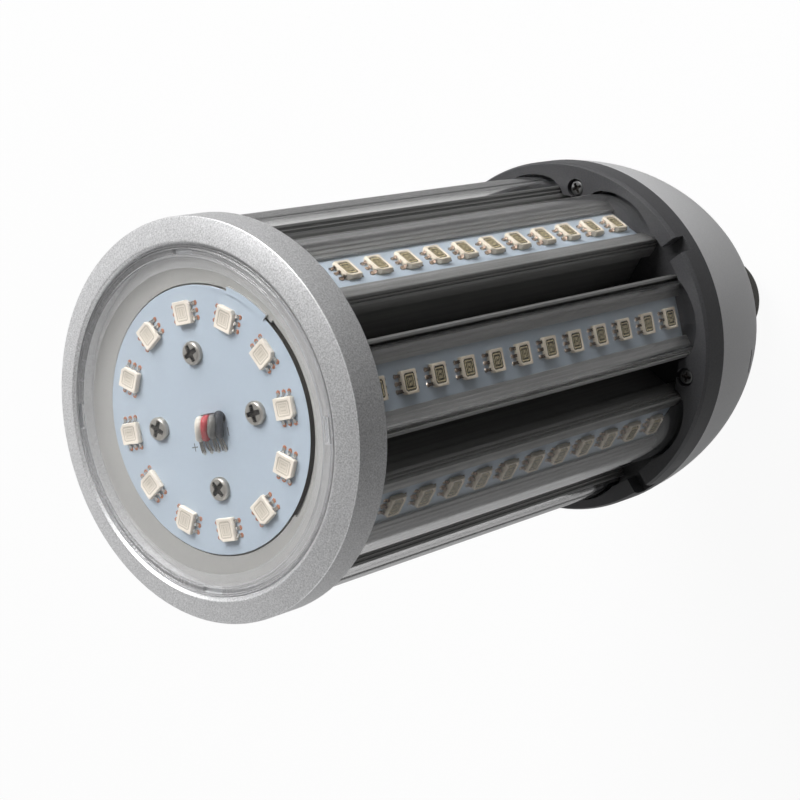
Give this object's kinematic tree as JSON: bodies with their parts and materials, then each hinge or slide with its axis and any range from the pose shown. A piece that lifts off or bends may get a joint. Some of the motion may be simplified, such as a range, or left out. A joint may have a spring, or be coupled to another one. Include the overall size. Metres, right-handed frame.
{
  "type": "corn led bulb",
  "caption": "Long round corn LED lamp: straight covered LED strips on finned metal modules around a core, a flat LED end face under a clear lens, a dark collar, a domed housing and a screw cap.",
  "frame": {"origin": "on the lamp axis at the bottom of the screw cap's centre contact", "axes": "+Z along the lamp axis from the screw cap to the end face with its ring of LEDs; one light module faces -Y"},
  "size_m": [0.0966, 0.0966, 0.2382],
  "materials": {
    "ring_paint": "light silver paint with a fine grain, satin",
    "clear_plastic": "clear smooth plastic",
    "plate_metal": "satin",
    "board_mask": "pale blue-white board coating, satin",
    "led_body": "cream, glossy",
    "screw_metal": "plated, satin",
    "wire_white": "cream insulation",
    "wire_red": "red insulation",
    "wire_grey": "grey insulation",
    "wire_black": "black insulation",
    "solder": "tinned, shiny",
    "bare_aluminium": "extruded, bare",
    "module_aluminium": "extruded, satin grey",
    "collar_paint": "dark charcoal, satin",
    "housing_plastic": "silver-grey, satin",
    "driver_board": "green board coating",
    "ferrite": "dark, dull",
    "capacitor": "dark sleeve",
    "lead_wire": "pale insulation",
    "cap_metal": "nickel-plated",
    "cap_insulator": "black, glossy",
    "contact_metal": "tinned, dull"
  },
  "bodies": {
    "root": {"front_ring": "ring_paint", "front_lens": "clear_plastic", "end_plate": "plate_metal", "end_board": "board_mask", "end_leds": "led_body", "end_board_screws": "screw_metal", "wire_white": "wire_white", "wire_red": "wire_red", "wire_grey": "wire_grey", "wire_black": "wire_black", "solder_joints": "solder", "core_tube": "bare_aluminium", "heat_sink_1": "module_aluminium", "strip_board_1": "board_mask", "strip_leds_1": "led_body", "strip_cover_1": "clear_plastic", "heat_sink_2": "module_aluminium", "strip_board_2": "board_mask", "strip_leds_2": "led_body", "strip_cover_2": "clear_plastic", "heat_sink_3": "module_aluminium", "strip_board_3": "board_mask", "strip_leds_3": "led_body", "strip_cover_3": "clear_plastic", "heat_sink_4": "module_aluminium", "strip_board_4": "board_mask", "strip_leds_4": "led_body", "strip_cover_4": "clear_plastic", "heat_sink_5": "module_aluminium", "strip_board_5": "board_mask", "strip_leds_5": "led_body", "strip_cover_5": "clear_plastic", "heat_sink_6": "module_aluminium", "strip_board_6": "board_mask", "strip_leds_6": "led_body", "strip_cover_6": "clear_plastic", "heat_sink_7": "module_aluminium", "strip_board_7": "board_mask", "strip_leds_7": "led_body", "strip_cover_7": "clear_plastic", "heat_sink_8": "module_aluminium", "strip_board_8": "board_mask", "strip_leds_8": "led_body", "strip_cover_8": "clear_plastic", "rear_collar": "collar_paint", "collar_screws": "screw_metal", "rear_housing": "housing_plastic", "driver_board": "driver_board", "driver_transformer": "ferrite", "driver_capacitor": "capacitor", "driver_choke": "ferrite", "input_leads": "lead_wire", "base_shell": "cap_metal", "base_insulator": "cap_insulator", "base_contact": "contact_metal"}
  },
  "joints": []
}
